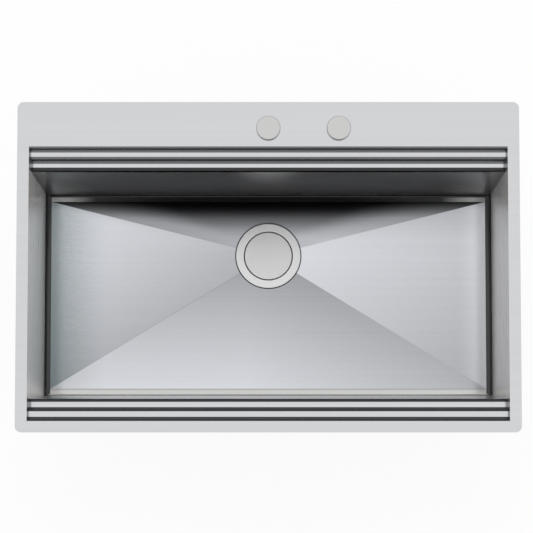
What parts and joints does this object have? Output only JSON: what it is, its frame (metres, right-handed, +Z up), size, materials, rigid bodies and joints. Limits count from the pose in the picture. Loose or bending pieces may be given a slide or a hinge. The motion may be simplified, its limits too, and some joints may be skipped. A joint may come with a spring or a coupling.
{
  "type": "kitchen sink",
  "caption": "Inset stainless steel kitchen sink: wide welded bowl with stepped accessory ledges, tap ledge with hole cap and rotary waste control, lifting basket strainer waste.",
  "frame": {"origin": "plan centre of the rim, on the worktop surface that the rim seal lies on", "axes": "+X to the user's right along the sink's length, +Y to the rear where the tap ledge is, +Z up"},
  "size_m": [0.79, 0.52, 0.316],
  "materials": {
    "brushed_steel": "satin brushed stainless steel sheet",
    "bright_steel": "turned and fine-brushed stainless steel",
    "plated_steel": "zinc-plated steel",
    "seal_rubber": "soft black sealing rubber",
    "damping_rubber": "sound-damping rubber",
    "black_plastic": "moulded black polypropylene",
    "grey_plastic": "moulded grey acetal"
  },
  "bodies": {
    "sink": {"deck_plate": "brushed_steel", "bowl_wrap": "brushed_steel", "left_end_wall": "brushed_steel", "right_end_wall": "brushed_steel", "waste_flange": "bright_steel", "tap_hole_cap": "bright_steel", "clamp_bolt": "bright_steel", "tap_ledge_stiffener": "plated_steel", "fixing_brackets": "plated_steel", "fixing_clips": "plated_steel", "fixing_screws": "plated_steel", "cap_bridge": "plated_steel", "cap_wing_nut": "plated_steel", "housing_screws": "plated_steel", "cable_bracket": "plated_steel", "cable_stop": "plated_steel", "rim_seal": "seal_rubber", "flange_seal": "seal_rubber", "body_gasket": "seal_rubber", "control_gasket": "seal_rubber", "cap_seal": "seal_rubber", "sound_pads": "damping_rubber", "waste_body": "black_plastic", "outlet_tail": "black_plastic", "shaft_gland": "black_plastic", "control_housing": "black_plastic", "housing_cover": "black_plastic", "control_nut": "black_plastic", "control_neck": "grey_plastic"},
    "control": {"control_knob": "bright_steel", "control_spindle": "plated_steel", "cable_drum": "grey_plastic"},
    "lever": {"lift_lever": "plated_steel", "lever_arm": "grey_plastic"},
    "lifter": {"lift_pin": "bright_steel"},
    "strainer": {"strainer_cap": "bright_steel", "strainer_stem": "bright_steel", "strainer_basket": "bright_steel", "plug_seal": "seal_rubber"}
  },
  "joints": [
    {"name": "control_turn", "type": "hinge", "parent": "sink", "child": "control", "pos_m": [0.111, 0.218, 0.006], "axis": [0, 0, 1], "range_deg": [0, 90]},
    {"name": "lever_swing", "type": "hinge", "parent": "sink", "child": "lever", "pos_m": [0, 0.0266, -0.2603], "axis": [1, 0, 0], "range_deg": [0, 34]},
    {"name": "pin_lift", "type": "slide", "parent": "sink", "child": "lifter", "axis": [0, 0, 1], "range_m": [0, 0.00856]},
    {"name": "strainer_lift_out", "type": "slide", "parent": "lifter", "child": "strainer", "axis": [0, 0, 1], "range_m": [0, 0.06]}
  ],
  "couplings": [
    {"joint": "lever_swing", "follows": "control_turn", "ratio": 0.37778},
    {"joint": "pin_lift", "follows": "control_turn", "m_per_rad": 0.0054498}
  ]
}
